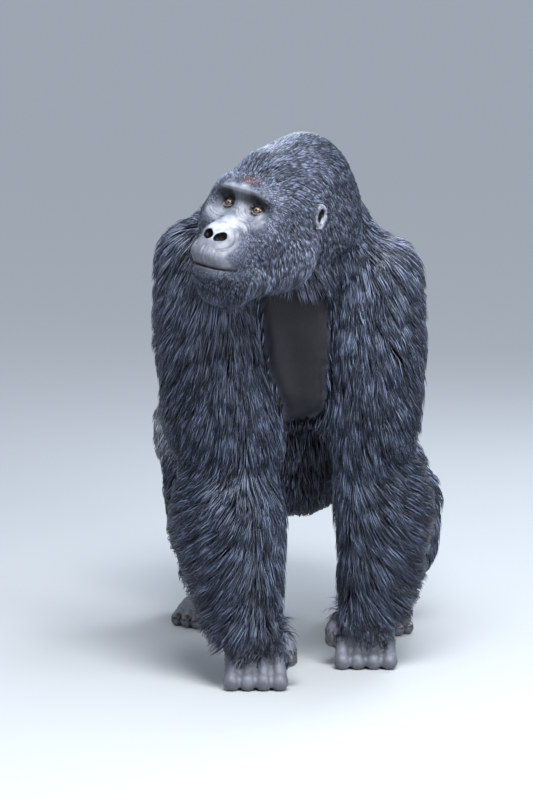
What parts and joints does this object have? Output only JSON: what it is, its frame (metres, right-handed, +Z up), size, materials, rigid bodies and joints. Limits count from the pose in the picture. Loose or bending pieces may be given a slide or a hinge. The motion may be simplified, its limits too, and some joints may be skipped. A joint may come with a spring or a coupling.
{
  "type": "gorilla",
  "caption": "Life-size still model of a silverback mountain gorilla resting on its knuckles and feet, head turned to its right.",
  "frame": {"origin": "middle of the whole animal's box, on the floor", "axes": "+Z up, +X to the animal's left, +Y to its back, so that it faces -Y with the head turned towards -X"},
  "size_m": [0.707, 1.253, 1.2279],
  "materials": {
    "fur": "long shaggy black coat with a blue-grey sheen",
    "silver_fur": "short dense coat, black at the chest and silver grey on the back",
    "bare_skin": "bare black wrinkled skin with a dull shine",
    "eye": "wet glossy amber-brown eyeball"
  },
  "bodies": {
    "root": {"head": "fur", "neck": "fur", "trunk": "silver_fur", "upper_arm_left": "fur", "upper_arm_right": "fur", "forearm_left": "fur", "forearm_right": "fur", "thigh_left": "fur", "thigh_right": "fur", "shank_left": "fur", "shank_right": "fur", "hand_left": "bare_skin", "hand_right": "bare_skin", "foot_left": "bare_skin", "foot_right": "bare_skin", "ear_left": "bare_skin", "ear_right": "bare_skin", "eye_left": "eye", "eye_right": "eye"}
  },
  "joints": []
}
